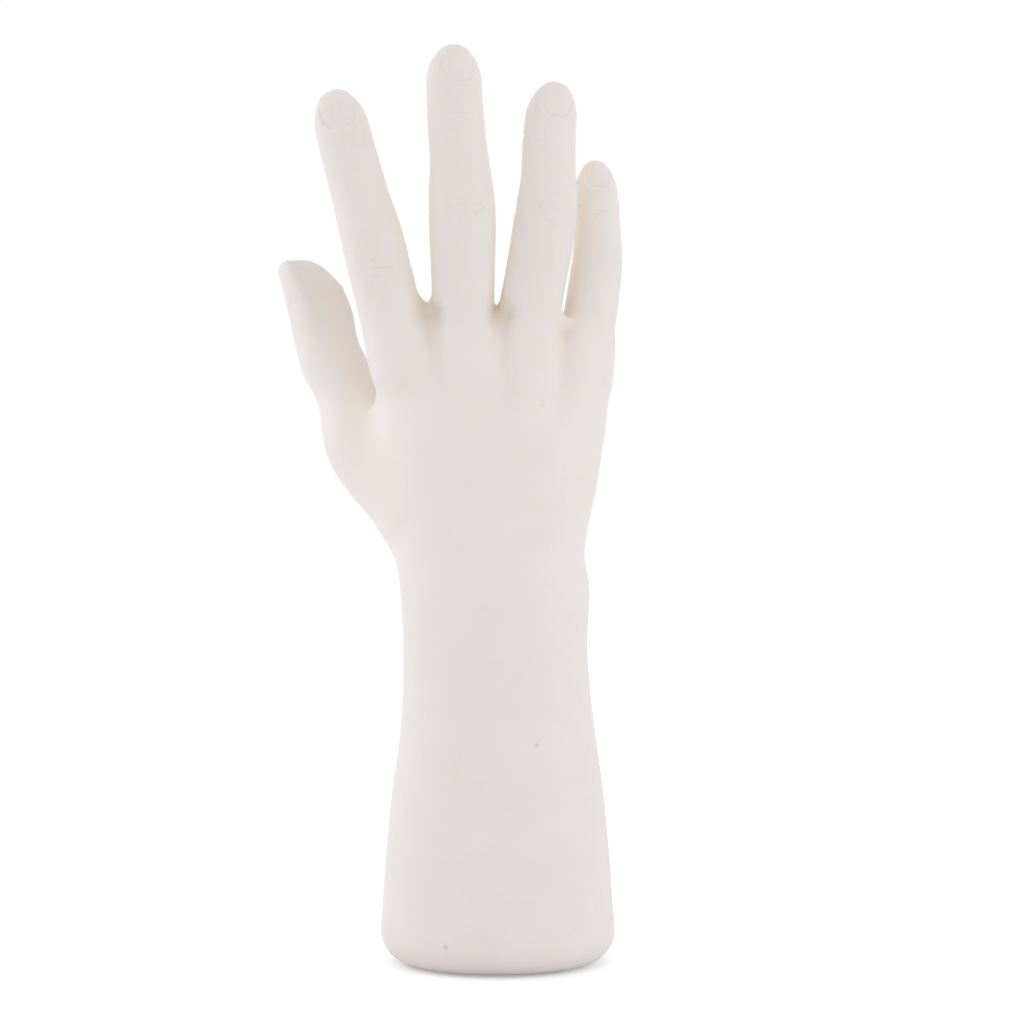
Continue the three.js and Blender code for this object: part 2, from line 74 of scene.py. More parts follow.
# Moulded skin and the opening in its foot
WALL = 3.0
LIP_THICKNESS = 3.0
CAVITY_HEIGHT = 184.0
CAVITY_ROUNDING = 9.0
FOOT_LAND = 4.0
PAD_THICKNESS = 1.6
PAD_PROUD = 0.4
CAP_FLANGE_THICKNESS = 2.0
CAP_FLANGE_REACH = 3.6
SKIN_LOW = PAD_PROUD
RECESS_HALF_WIDTH = FOOT_WIDTH / 2 - FOOT_FILLET - FOOT_LAND
RECESS_HALF_DEPTH = FOOT_DEPTH / 2 - FOOT_FILLET - FOOT_LAND
FLANGE_HIGH = PAD_THICKNESS + CAP_FLANGE_THICKNESS
MOUTH_HALF_WIDTH = RECESS_HALF_WIDTH - CAP_FLANGE_REACH
MOUTH_HALF_DEPTH = RECESS_HALF_DEPTH - CAP_FLANGE_REACH
LIP_HIGH = FLANGE_HIGH + LIP_THICKNESS
# How far the room's rounded top is worked out, its least half depth, and how far the mouth runs into the room
FLATTEST = 0.999
LEAST_HALF_DEPTH = 0.01
MOUTH_OVERLAP = 1.0

# Sections of the forearm and palm: height, reach to the thumb's side, the little finger's side, the back and
# the palm, and the power of the section's curve
SECTIONS = [
    (BROADEST_HEIGHT, FOOT_WIDTH / 2, FOOT_WIDTH / 2, FOOT_DEPTH / 2, FOOT_DEPTH / 2, 2.1),
    (FLARE_HEIGHT, 36.0, 35.8, 29.2, 29.4, 2.1),
    (SHANK_HEIGHT, 32.2, 31.9, 24.6, 24.9, 2.1),
    (WAIST_HEIGHT, 31.6, 29.8, 22.5, 22.6, 2.15),
    (WRIST_KNOB_HEIGHT, 32.4, 30.5, 21.3, 20.9, 2.2),
    (WRIST_HEIGHT, 32.7, 28.4, 20.7, 18.8, 2.2),
    (HEEL_HEIGHT, 33.5, 31.9, 21.6, 13.4, 2.3),
    (PALM_HEIGHT, 38.0, 35.9, 22.0, 7.8, 2.4),
    (KNUCKLE_HEIGHT, 40.4, 37.6, 19.5, 5.6, 2.5),
    (WEB_HEIGHT, 40.8, 38.4, 12.5, 4.6, 2.5),
]
SECTION_HEIGHTS, *SECTION_SIDES = [np.array(column) for column in zip(*SECTIONS)]

# Fingers: knuckle, bone lengths, lean to the little finger's side and curl to the palm (degrees), half widths
# at six places with the shares of them that the finger reaches to its back and its pad, the turn of the nail
# about the finger (degrees), the length of its rounded tip, how square the tip is on the nail's side, and how
# wide the finger's foot spreads into the palm. The four straight fingers share some of these. The thumb's
# last bone is in two lengths, because it bends back upright.
STRAIGHT = dict(backs=(1.02, 0.98, 0.98, 0.92, 0.88, 0.8), pads=(1.02, 1.02, 0.96, 0.98, 0.9, 0.92),
                cap=13, square=1.2)
FINGERS = {
    "index": dict(
        STRAIGHT, knuckle=(-29, -7.5, 189), bones=(53.3, 28.7, 23.1), lean=(-14, -15.8, -14),
        curl=(4.3, 10, 9), widths=(10.5, 10.4, 10.2, 9.5, 9.35, 9.1), facing=-6, blend=6),
    "middle": dict(
        STRAIGHT, knuckle=(-11.8, -9.5, 190), bones=(60.2, 34.1, 21.7), lean=(0, -4.2, -2.4),
        curl=(4.8, 8.6, 10), widths=(10.6, 10.3, 11, 9.8, 9.4, 9.3), facing=8, blend=5),
    "ring": dict(
        STRAIGHT, knuckle=(5.3, -8.5, 189), bones=(60.9, 26.3, 18.7), lean=(10.2, 2.6, 6),
        curl=(5.7, 10, 10), widths=(10.3, 10.2, 10.2, 9.1, 8.9, 8.7), facing=12, blend=5),
    "little": dict(
        STRAIGHT, knuckle=(26.1, -1.5, 186), bones=(49.6, 19.4, 16), lean=(8.6, 0, -2.7),
        curl=(11.4, 15, 14), widths=(9.6, 9, 8.5, 7.9, 7.8, 7.5), facing=8, blend=5),
    "thumb": dict(
        knuckle=(-21, 5.5, 146), bones=(37.9, 31.5, 23.2, 13.4), lean=(-43.3, -20.4, -27.7, -14),
        curl=(12.2, 11, 4, 2), widths=(13.5, 14, 12.8, 10.8, 11.2, 10.5),
        backs=(1.02, 1, 1, 0.84, 0.99, 0.48), pads=(1.02, 1.05, 1.08, 1.2, 0.99, 1.52),
        facing=-76, cap=15, square=4, blend=10),
}
ROOT_CAP = 9.0
BONE_STEPS = 60
# How far beyond a finger's bone line and widths its own distance is worked out
FINGER_MARGIN = 16.0

# Soft masses of the palm: middle, half sizes and how wide each blends in
MOUNDS = [
    ((-18.5, 5.5, 164), (19, 14, 34), 16),
    ((13, 1.5, 165), (14, 14, 34), 14),
    ((-3, -2.2, 199), (34, 9.5, 11), 10),
]

# The distance given to all that is far away, and the least that a length is divided by
FAR = 60.0
TINY = 1e-3


def smooth_through(places, values, at):
    """A curve through values at rising places, with slopes taken from the neighbours."""
    places = np.asarray(places, float)
    values = np.asarray(values, float)
    order = np.arange(len(places))
    before = np.maximum(order - 1, 0)
    after = np.minimum(order + 1, len(places) - 1)
    slopes = (values[after] - values[before]) / (places[after] - places[before])
    i = np.clip(np.searchsorted(places, at, side="right") - 1, 0, len(places) - 2)
    span = places[i + 1] - places[i]
    t = np.clip((at - places[i]) / span, 0, 1)
    t2 = t * t
    t3 = t2 * t
    curve = ((2 * t3 - 3 * t2 + 1) * values[i] + (t3 - 2 * t2 + t) * span * slopes[i]
             + (3 * t2 - 2 * t3) * values[i + 1] + (t3 - t2) * span * slopes[i + 1])
    return curve + slopes[-1] * np.maximum(at - places[-1], 0)


def smooth_step(value, low, high):
    t = np.clip((value - low) / (high - low), 0, 1)
    return t * t * (3 - 2 * t)


def bell(value, width):
    """A bump of height 1 at nought that fades over the width on each side."""
    return np.exp(-(value / width) ** 2)


def rounded_edge(first, second, fillet):
    a = first + fillet
    b = second + fillet
    return np.minimum(np.maximum(a, b), 0) + np.hypot(np.maximum(a, 0), np.maximum(b, 0)) - fillet


def blended(a, b, blend):
    """The lesser of two distances, with the corner between them filled over the blend's width."""
    near = np.maximum(blend - np.abs(a - b), 0) / blend
    return np.minimum(a, b) - near * near * blend / 4


def sections_at(z):
    return [smooth_through(SECTION_HEIGHTS, side, z) for side in SECTION_SIDES]


def swept_side(x, y, half_x, half_y, power):
    """How far points lie outside a rounded section of those half sizes."""
    reach = (np.abs(x / half_x) ** power + np.abs(y / half_y) ** power) ** (1 / power)
    return np.maximum(np.hypot(x, y), TINY) * (1 - 1 / np.maximum(reach, TINY))


def body_distance(p):
    x, y, z = p.T
    thumb_side, little_side, back, palm, power = sections_at(z)
    side = swept_side(x, y, np.where(x < 0, thumb_side, little_side), np.where(y < 0, back, palm), power)
    tilt = np.tan(np.radians(PALM_TILT)) * smooth_step(z, HEEL_HEIGHT, WEB_HEIGHT)
    return np.maximum(rounded_edge(side, SKIN_LOW - z, FOOT_FILLET),
                      rounded_edge(side, z + tilt * x - WEB_HEIGHT, WEB_ROUNDING))


def palm_distance(p):
    distance = body_distance(p)
    for middle, half_sizes, blend in MOUNDS:
        q = p - np.array(middle, float)
        reach = np.maximum(np.linalg.norm(q / np.array(half_sizes, float), axis=1), TINY)
        mound = np.maximum(np.linalg.norm(q, axis=1), TINY) * (1 - 1 / reach)
        distance = blended(distance, mound, blend)
    return distance


def through_joints(joints, steps):
    """Points at equal steps along a smooth curve through joints."""
    joints = np.array([2 * joints[0] - joints[1], *joints, 2 * joints[-1] - joints[-2]])
    fine = []
    t = np.linspace(0, 1, 100)[:, None]
    for a, b, c, d in zip(joints[:-3], joints[1:-2], joints[2:-1], joints[3:]):
        gap_before, gap, gap_after = [np.sqrt(np.linalg.norm(q - p)) for p, q in ((a, b), (b, c), (c, d))]
        start = ((b - a) / gap_before - (c - a) / (gap_before + gap) + (c - b) / gap) * gap
        end = ((c - b) / gap - (d - b) / (gap + gap_after) + (d - c) / gap_after) * gap
        fine.append(b + start * t + (3 * (c - b) - 2 * start - end) * t ** 2
                    + (2 * (b - c) + start + end) * t ** 3)
    fine = np.vstack(fine)
    run = np.concatenate([[0], np.cumsum(np.linalg.norm(np.diff(fine, axis=0), axis=1))])
    places = np.linspace(0, run[-1], steps + 1)
    return np.column_stack([np.interp(places, run, fine[:, k]) for k in range(3)])


def unit(vectors):
    return vectors / np.linalg.norm(vectors, axis=-1, keepdims=True)


def bone_line(finger):
    """A finger's bone line from its knuckle to its fingertip, cut into short straight steps."""
    lean, curl = np.radians(finger["lean"]), np.radians(finger["curl"])
    bones = np.column_stack([np.sin(lean) * np.cos(curl), np.sin(curl), np.cos(lean) * np.cos(curl)])
    lengths = np.array(finger["bones"], float)
    reached = np.vstack([[0, 0, 0], np.cumsum(bones * lengths[:, None], axis=0)])
    joints = np.array(finger["knuckle"], float) + reached
    points = through_joints(joints, BONE_STEPS)
    steps = np.diff(points, axis=0)
    sizes = np.linalg.norm(steps, axis=1)
    along = unit(steps)
    facing = np.radians(finger["facing"])
    across = unit(np.cross(along, [np.sin(facing), -np.cos(facing), 0]))
    first, second = lengths[:2]
    tip_start = lengths.sum() - finger["cap"]
    places = np.array([0, first / 2, first, first + second / 2, first + second, tip_start])
    widths = np.array(finger["widths"], float)
    total = sizes.sum()
    return dict(
        finger, points=points[:-1], along=along, across=across, up=np.cross(across, along), sizes=sizes,
        starts=np.concatenate([[0], np.cumsum(sizes)[:-1]]), total=total,
        places=places / lengths.sum() * total, widths=widths, backs=widths * finger["backs"],
        pads=widths * finger["pads"],
        reach=(points.min(0) - widths.max() - FINGER_MARGIN, points.max(0) + widths.max() + FINGER_MARGIN))


LINES = {name: bone_line(finger) for name, finger in FINGERS.items()}


def finger_places(p, line):
    """Each point's place along a finger, and how far it lies across it and to its back."""
    nearest = np.full(len(p), np.inf)
    place, across, up = (np.zeros(len(p)) for _ in range(3))
    last = len(line["sizes"]) - 1
    for i, start in enumerate(line["points"]):
        offset = p - start
        along = offset @ line["along"][i]
        if i > 0:
            along = np.maximum(along, 0)
        if i < last:
            along = np.minimum(along, line["sizes"][i])
        aside = offset - along[:, None] * line["along"][i]
        distance = np.einsum("ij,ij->i", aside, aside)
        closer = distance < nearest
        nearest[closer] = distance[closer]
        place[closer] = line["starts"][i] + along[closer]
        across[closer] = aside[closer] @ line["across"][i]
        up[closer] = aside[closer] @ line["up"][i]
    return place, across, up


def finger_distance(p, line):
    """How far points lie outside a finger. Points far from it all count as far."""
    low, high = line["reach"]
    near = ((p > low) & (p < high)).all(1)
    result = np.full(len(p), FAR)
    place, across, up = finger_places(p[near], line)
    tip_start = line["places"][5]
    at = np.clip(place, 0, tip_start)
    half_width = smooth_through(line["places"], line["widths"], at)
    half_depth = np.where(up > 0, smooth_through(line["places"], line["backs"], at),
                          smooth_through(line["places"], line["pads"], at))
    beyond = np.where(place > tip_start, place - tip_start, np.minimum(place - ROOT_CAP, 0))
    cap = np.where(place > tip_start, line["cap"], ROOT_CAP)
    round_reach = np.maximum(np.hypot(across / half_width, up / half_depth), TINY)
    nailward = np.where(place > tip_start, (np.maximum(up, 0) / half_depth / round_reach) ** 2, 0)
    power = 2 + line["square"] * nailward
    reach = (round_reach ** power + np.abs(beyond / cap) ** power) ** (1 / power)
    size = np.sqrt(across ** 2 + up ** 2 + beyond ** 2)
    result[near] = np.maximum(size, TINY) * (1 - 1 / np.maximum(reach, TINY))
    return result


def outer_distance(p):
    palm = palm_distance(p)
    distance = palm
    for line in LINES.values():
        distance = np.minimum(distance, blended(palm, finger_distance(p, line), line["blend"]))
    return distance


def cavity_distance(p):
    """How far points lie outside the room in the skin, with its mouth in the foot."""
    x, y, z = p.T
    thumb_side, little_side, back, palm, power = sections_at(z)
    low_turn = np.clip((z - LIP_HIGH) / (FOOT_FILLET - WALL), 0, 1)
    high_turn = np.clip((z - CAVITY_HEIGHT + CAVITY_ROUNDING) / CAVITY_ROUNDING, 0, FLATTEST)
    extra = (FOOT_FILLET - WALL) * (1 - np.sqrt(1 - (1 - low_turn) ** 2))
    flatten = np.sqrt(1 - high_turn ** 2)
    extra = extra + CAVITY_ROUNDING * (1 - flatten) / 3 + WALL
    middle = (palm - back) / 2 * (1 - flatten)
    half_x = np.where(x < 0, thumb_side, little_side) - extra
    half_y = (np.where(y < middle, back, palm) - extra) * flatten + LEAST_HALF_DEPTH
    side = swept_side(x, y - middle, half_x, half_y, power)
    room = np.maximum(side, np.maximum(LIP_HIGH - z, z - CAVITY_HEIGHT))
    recess = np.maximum(swept_side(x, y, RECESS_HALF_WIDTH, RECESS_HALF_DEPTH, 2), z - FLANGE_HIGH)
    mouth = swept_side(x, y, MOUTH_HALF_WIDTH, MOUTH_HALF_DEPTH, 2)
    mouth = np.maximum(mouth, z - LIP_HIGH - MOUTH_OVERLAP)
    return np.minimum(room, np.minimum(recess, mouth))


def skin_distance(p):
    return np.maximum(outer_distance(p), -cavity_distance(p))


def levels(stops):
    """Grid levels from stop to stop. A stop is (start, spacing), and the last one is (end, None)."""
    runs = []
    for (start, spacing), (end, _) in zip(stops[:-1], stops[1:]):
        count = int(np.ceil((end - start) / spacing))
        runs.append(np.linspace(start, end, count, endpoint=False))
    return np.concatenate([*runs, [stops[-1][0]]])


CORNERS = np.array([(0, 0, 0), (1, 0, 0), (1, 1, 0), (0, 1, 0), (0, 0, 1), (1, 0, 1), (1, 1, 1), (0, 1, 1)])
EDGES = [(0, 1), (1, 2), (3, 2), (0, 3), (4, 5), (5, 6), (7, 6), (4, 7), (0, 4), (1, 5), (2, 6), (3, 7)]
# How many fine grid steps make a coarse one, how many points are worked out at a time, the step by which a
# slope is measured, the least square of a slope, and the farthest that a point is moved onto the surface
COARSE = 3
BATCH = 400000
SLOPE_STEP = 0.02
LEAST_SLOPE_SQUARE = 0.25
LONGEST_MOVE = 0.5


def grid_values(distance, xs, ys, zs):
    """The distance at every grid point near the surface, and its sign times FAR elsewhere."""
    axes = (xs, ys, zs)
    shape = tuple(len(axis) for axis in axes)
    picks = [np.unique(np.append(np.arange(0, n, COARSE), n - 1)) for n in shape]
    coarse_axes = [axis[pick] for axis, pick in zip(axes, picks)]
    mesh = np.stack(np.meshgrid(*coarse_axes, indexing="ij"), axis=-1).reshape(-1, 3)
    coarse = distance(mesh).reshape([len(pick) for pick in picks])
    near = np.full([n - 1 for n in coarse.shape], FAR)
    for corner in CORNERS:
        shifted = tuple(slice(k, n - 1 + k) for n, k in zip(coarse.shape, corner))
        near = np.minimum(near, np.abs(coarse[shifted]))
    spans = np.sqrt(sum(np.reshape(np.diff(axis) ** 2, [-1 if i == k else 1 for i in range(3)])
                        for k, axis in enumerate(coarse_axes)))
    active = near < spans
    homes = [np.clip(np.searchsorted(pick, np.arange(n), side="right") - 1, 0, len(pick) - 2)
             for pick, n in zip(picks, shape)]
    values = np.where(coarse < 0, -FAR, FAR)[np.ix_(*homes)]
    lower = [np.where(np.isin(np.arange(n), pick), np.maximum(home - 1, 0), home)
             for n, pick, home in zip(shape, picks, homes)]
    wanted = np.zeros(shape, bool)
    for corner in CORNERS:
        wanted |= active[np.ix_(*[lower[k] if corner[k] else homes[k] for k in range(3)])]
    at = np.argwhere(wanted)
    points = np.column_stack([axis[at[:, k]] for k, axis in enumerate(axes)])
    for start in range(0, len(at), BATCH):
        part = slice(start, start + BATCH)
        values[tuple(at[part].T)] = distance(points[part])
    return values


def surface_of(distance, xs, ys, zs):
    """Points and four-sided faces of the surface where the distance is nought: one point in each cell of the
    grid that the surface crosses, moved onto the surface."""
    values = grid_values(distance, xs, ys, zs)
    inside = values < 0
    nx, ny, nz = values.shape
    count = np.zeros((nx - 1, ny - 1, nz - 1), np.int8)
    for i, j, k in CORNERS:
        count += inside[i:nx - 1 + i, j:ny - 1 + j, k:nz - 1 + k]
    cells = np.argwhere((count > 0) & (count < 8))
    ids = np.full(count.shape, -1)
    ids[tuple(cells.T)] = np.arange(len(cells))
    corner_values = [values[tuple((cells + corner).T)] for corner in CORNERS]
    corner_points = [np.column_stack([axis[(cells + corner)[:, k]] for k, axis in enumerate((xs, ys, zs))])
                     for corner in CORNERS]
    total = np.zeros((len(cells), 3))
    crossings = np.zeros(len(cells))
    for a, b in EDGES:
        va, vb = corner_values[a], corner_values[b]
        crossed = (va < 0) != (vb < 0)
        share = np.where(crossed, va / np.where(crossed, va - vb, 1), 0)
        total += np.where(crossed[:, None], corner_points[a] + (corner_points[b] - corner_points[a])
                          * share[:, None], 0)
        crossings += crossed
    points = total / crossings[:, None]
    for _ in range(2):
        points = onto_surface(distance, points)
    faces = []
    for axis in range(3):
        second, third = (axis + 1) % 3, (axis + 2) % 3
        low = [slice(None)] * 3
        high = [slice(None)] * 3
        low[axis], high[axis] = slice(0, -1), slice(1, None)
        at = np.argwhere(inside[tuple(low)] != inside[tuple(high)])
        ring = []
        for back_second, back_third in ((1, 1), (0, 1), (0, 0), (1, 0)):
            cell = at.copy()
            cell[:, second] -= back_second
            cell[:, third] -= back_third
            ring.append(ids[tuple(cell.T)])
        quads = np.column_stack(ring)
        turned = ~inside[tuple(at.T)]
        quads[turned] = quads[turned][:, ::-1]
        faces.append(quads)
    return points, np.vstack(faces)


def onto_surface(distance, points):
    """Points moved to where the distance is nought, by no more than the longest move."""
    here = distance(points)
    slope = np.column_stack([(distance(points + way * SLOPE_STEP) - here) / SLOPE_STEP for way in np.eye(3)])
    move = slope * (here / np.maximum((slope ** 2).sum(1), LEAST_SLOPE_SQUARE))[:, None]
    length = np.linalg.norm(move, axis=1, keepdims=True)
    return points - move * np.minimum(1, LONGEST_MOVE / np.maximum(length, TINY))


# Detail of the skin, all in millimetres of height and run

# Nails: half width, length from the fingertip to the root, how much of the length rounds in to the root, and
# how far the nail lies to one side of the finger
NAILS = {
    "index": dict(half_width=6.0, length=14.8, rounding=8.5, aside=0.5),
    "middle": dict(half_width=5.6, length=14.8, rounding=7.0, aside=0.6),
    "ring": dict(half_width=5.1, length=13.5, rounding=7.5, aside=0.3),
    "little": dict(half_width=4.4, length=10.9, rounding=6.0, aside=0.0),
    "thumb": dict(half_width=6.2, length=15.0, rounding=8.0, aside=-1.8),
}
NAIL_POWER = 2.7
NAIL_SINK = 0.28
NAIL_GROOVE = 0.21
NAIL_FOLD = 0.2
NAIL_LEDGE = 0.12
# Where the nail's parts begin and are whole, and how far outside its edge the groove and the fold lie
NAIL_SHOWS = (1.0, 1.7)
PLATE_BEGINS = (1.5, 8.0)
PLATE_EDGE = (-0.1, 0.45)
LEDGE_EDGE = (0.2, 1.4)
GROOVE_BEGINS = (3.0, 8.0)
GROOVE_PLACE = -0.05
GROOVE_WIDTH = 0.32
FOLD_BEGINS = (3.5, 9.0)
FOLD_PLACE = 1.0
FOLD_WIDTH = 0.85

# Faint wrinkles over the back of each joint: offset along the finger, depth, half width across
BACK_WRINKLES = {
    "knee": ((-4.2, 0.05, 3.8), (-1.9, 0.09, 5.0), (0.6, 0.08, 5.2), (3.0, 0.06, 4.2)),
    "end": ((-1.0, 0.07, 4.4), (1.2, 0.06, 4.0)),
}
WRINKLE_WIDTH = 0.4
WRINKLE_WAVE = 0.4
# How far a wrinkle's ends bow away from the joint, and the farthest that counts for it
WRINKLE_BOW = -0.35
FARTHEST_BOW = 2.0
# How far a finger's middle wrinkles lie from the end of its first bone
KNEE_SHIFTS = {"index": -11.0}
# By how much the phase of the wrinkles' waves differs from finger to finger
FINGER_PHASE = 1.7

# Deeper creases and pits over the joints, each as points (x, z) with depth and width
BACK_CREASES = {
    "index": [
        (((-41.4, 228.7), (-38.4, 228.9), (-34.6, 229.2)), 0.2, 0.6),
        (((-41.1, 231.9), (-40.6, 231.4)), 0.24, 0.8),
        (((-40.6, 226.3), (-38.4, 226.5)), 0.14, 0.75),
        (((-37.2, 232.4), (-34.8, 232.0)), 0.08, 0.8),
    ],
    "middle": [
        (((-5.8, 250.2), (-5.1, 248.8), (-5.4, 247.9)), 0.28, 0.7),
        (((-6.4, 247.3), (-7.2, 246.6)), 0.2, 0.75),
        (((-15.4, 248.3), (-14.6, 247.4)), 0.18, 0.85),
        (((-12.6, 251.6), (-10.0, 251.9)), 0.14, 1.7),
        (((-11.2, 244.9), (-8.6, 244.6)), 0.1, 0.7),
        (((-16.0, 280.5), (-12.4, 280.7), (-8.8, 280.4)), 0.12, 0.5),
        (((-12.1, 278.8), (-8.9, 278.9)), 0.1, 0.5),
        (((-15.6, 270.0), (-14.8, 269.2), (-14.0, 269.8)), 0.08, 0.5),
    ],
    "ring": [
        (((14.1, 250.3), (13.7, 249.4)), 0.26, 0.75),
        (((13.3, 248.3), (13.2, 247.6)), 0.14, 0.7),
        (((15.8, 245.2), (17.0, 244.2), (18.2, 243.6)), 0.26, 0.65),
        (((14.6, 241.6), (16.2, 241.2)), 0.08, 0.7),
        (((13.8, 271.7), (15.8, 271.9), (17.6, 271.4)), 0.11, 0.55),
    ],
    "little": [
        (((27.5, 252.6), (28.2, 252.5)), 0.3, 0.9),
        (((32.4, 250.4), (34.6, 250.6), (36.8, 250.5)), 0.15, 0.5),
        (((31.7, 249.1), (32.5, 248.9)), 0.17, 0.75),
        (((31.0, 234.6), (34.5, 234.9)), 0.08, 0.7),
    ],
}
# Creases on the pad side of each joint: offset along the finger and depth
PAD_CREASES = {"knee": ((-1.1, 0.42), (1.3, 0.32)), "end": ((0.0, 0.36),)}
PAD_CREASE_WIDTH = 0.75
PAD_CREASE_WAVE = 0.25
# Creases at a finger's root: offset and depth, and their place in shares of half the first bone
ROOT_CREASES = ((0.0, 0.5), (2.6, 0.25))
ROOT_CREASE_WIDTH = 0.85
ROOT_CREASE_PLACE = 1.12
# The share of its creases that a finger's pad side has
PAD_CREASE_SHARES = {"thumb": 0.12}
# How far up to the finger's back, or down to its pad, creases begin and are whole
TOWARD_BACK = (1.0, 4.0)
TOWARD_PAD = (-1.5, 1.5)
AT_PAD = (1.5, 4.5)

# Creases of the palm as points (x, z), with depth and width, and the shares over which they begin and end
PALM_CREASE_BEGINS = 0.06
PALM_CREASE_ENDS = 0.22
PALM_CREASES = [
    (((-39, 199), (-27, 198), (-16, 190), (-8, 178), (-4, 164), (-5, 150), (-8, 143)), 0.5, 1.0),
    (((-39, 200), (-26, 199), (-12, 193), (4, 184), (18, 176), (27, 172)), 0.42, 0.9),
    (((37, 192), (26, 194), (12, 197), (-2, 202), (-13, 210)), 0.45, 0.9),
    (((-24, 143), (-12, 140.5), (4, 140), (18, 142), (25, 145)), 0.38, 0.8),
    (((-22, 136.5), (-10, 134.5), (5, 134.2), (19, 136)), 0.2, 0.7),
]

# Ridges of the tendons, from each knuckle to the wrist: (x, z) at both ends, and the share lost at the wrist
TENDONS = [((-29, 191), (-9, 143)), ((-11, 193), (-3, 143)), ((10, 192), (3, 143)), ((27, 187), (9, 143))]
TENDON_HEIGHT = 0.5
TENDON_WIDTH = 3.4
TENDON_LOSS = 0.75
TENDON_FADE = (142.0, 156.0)
# Valleys between the knuckles, from the webs down: points (x, z)
VALLEYS = [
    ((-22.0, 215), (-20.8, 203), (-18.8, 192), (-16, 176)),
    ((1.4, 214), (1.9, 202), (2.4, 192), (2.2, 176)),
    ((22.4, 209), (22.0, 201), (20.8, 191), (17.5, 176)),
]
VALLEY_DEPTH = 2.7
VALLEY_WIDTH = 3.9
# Knuckles: place (x, z) and height
KNUCKLES = [((-31, 194), 0.7), ((-10.5, 197), 0.95), ((11, 195), 0.9), ((30, 190), 0.65)]
KNUCKLE_WIDTH = 6.5
KNUCKLE_SLIMNESS = 0.8
# Swells and hollows of the thumb: place, height and width
THUMB_SWELLS = [
    ((-51.5, 21, 218), 0.9, 7.0),
    ((-55.0, 24, 230.5), -1.0, 6.0),
    ((-48.6, 19, 209), -0.6, 5.0),
    ((-43.0, 6, 187), 1.2, 6.0),
    ((-54.3, 24, 228), -0.35, 3.0),
]
# How far off a finger's own surface its nail and creases reach
FINGER_FADE = 2.5

# The skin's slow swells: their height, their lengths, how many there are of each, what their sum is divided
# by, and where they begin above the foot
UNEVENNESS = 0.07
SWELL_LENGTHS = (34, 27, 21, 16, 12, 9)
SWELLS_PER_LENGTH = 3
SWELL_SUM = 2.2
SWELLS_BEGIN = (SKIN_LOW + 2, SKIN_LOW + 12)
# How squarely skin faces the back or the palm where their detail begins and is whole
FACES_BACK = (0.15, 0.6)
FACES_PALM = (0.1, 0.5)

# The webs' painted shade: heights between which it begins and ends, the share of it lost above, and how near
# the next finger is
WEB_BEGINS = (200.0, 211.0)
WEB_ENDS = (217.0, 228.0)
WEB_LOSS = 0.8
WEB_REACH = 3.7
# The painted shade at the tops of the valleys: how strong it is, over what width, how fast that fades, and
# the height where it ends
VALLEY_PAINTED_SHADE = 0.65
VALLEY_PAINTED_SHADE_WIDTH = 2.5
VALLEY_PAINTED_SHADE_POWER = 4
VALLEY_PAINTED_SHADE_LOW = 190.0
# How far out from the skin other skin hems it in, for the painted warm bounce light, and how far to its side
# the thumb begins
HEMMED_REACHES = (4.0, 9.0, 16.0)
THUMB_BEGINS = (40.0, 46.0)

# Fine faces: how far they reach past a nail's root, beside it and beside a crease, and the cuts in each edge
FINE_PAST_ROOT = 2.5
FINE_BESIDE_NAIL = 2.0
FINE_BESIDE_CREASE = 0.9
FINE_CUTS = 2
# How deep a point still counts as outside, and the depths where a crease's painted shade begins and is
# darkest
OUTSIDE_DEPTH = 0.5
CREASE_SHOWS = 0.04
CREASE_DARKEST = 0.5


def line_distance(x, z, start, end):
    """Distance of points from a straight line in the plane, and the share of it that each lies along."""
    run = np.array(end, float) - np.array(start, float)
    along = np.clip(((x - start[0]) * run[0] + (z - start[1]) * run[1]) / (run @ run), 0, 1)
    return np.hypot(x - start[0] - along * run[0], z - start[1] - along * run[1]), along


def curve_distance(x, z, points):
    """Distance of points from a smooth curve in the plane, and the share of it that each lies along."""
    curve = through_joints(np.column_stack([points, np.zeros(len(points))]).astype(float), 40)[:, :2]
    nearest = np.full(len(x), np.inf)
    share = np.zeros(len(x))
    for i in range(len(curve) - 1):
        distance, along = line_distance(x, z, curve[i], curve[i + 1])
        closer = distance < nearest
        nearest[closer] = distance[closer]
        share[closer] = (i + along[closer]) / (len(curve) - 1)
    return nearest, share


def nail_edge(nail, from_tip, across):
    """Distance outside a nail's outline, which has straight sides and a round root."""
    past = np.maximum(from_tip - nail["length"] + nail["rounding"], 0) / nail["rounding"]
    across = across - nail["aside"]
    beside = np.abs(across) / nail["half_width"]
    reach = (past ** NAIL_POWER + beside ** NAIL_POWER) ** (1 / NAIL_POWER)
    return np.hypot(across, past * nail["rounding"]) * (1 - 1 / np.maximum(reach, TINY))


def nail_height(name, line, place, across, up):
    """The nail's plate, sunk at its root, and the fold round it, then the groove between them."""
    from_tip = line["total"] - place
    edge = nail_edge(NAILS[name], from_tip, across)
    backward = smooth_step(up, *NAIL_SHOWS)
    from_root = smooth_step(from_tip, *PLATE_BEGINS)
    inside = smooth_step(-edge, *PLATE_EDGE)
    plate = -NAIL_SINK * inside * from_root
    groove = -NAIL_GROOVE * bell(edge - GROOVE_PLACE, GROOVE_WIDTH) * smooth_step(from_tip, *GROOVE_BEGINS)
    fold = NAIL_FOLD * bell(edge - FOLD_PLACE, FOLD_WIDTH) * smooth_step(from_tip, *FOLD_BEGINS)
    ledge = NAIL_LEDGE * smooth_step(-edge, *LEDGE_EDGE) * (1 - from_root)
    return (plate + fold + ledge) * backward, groove * backward


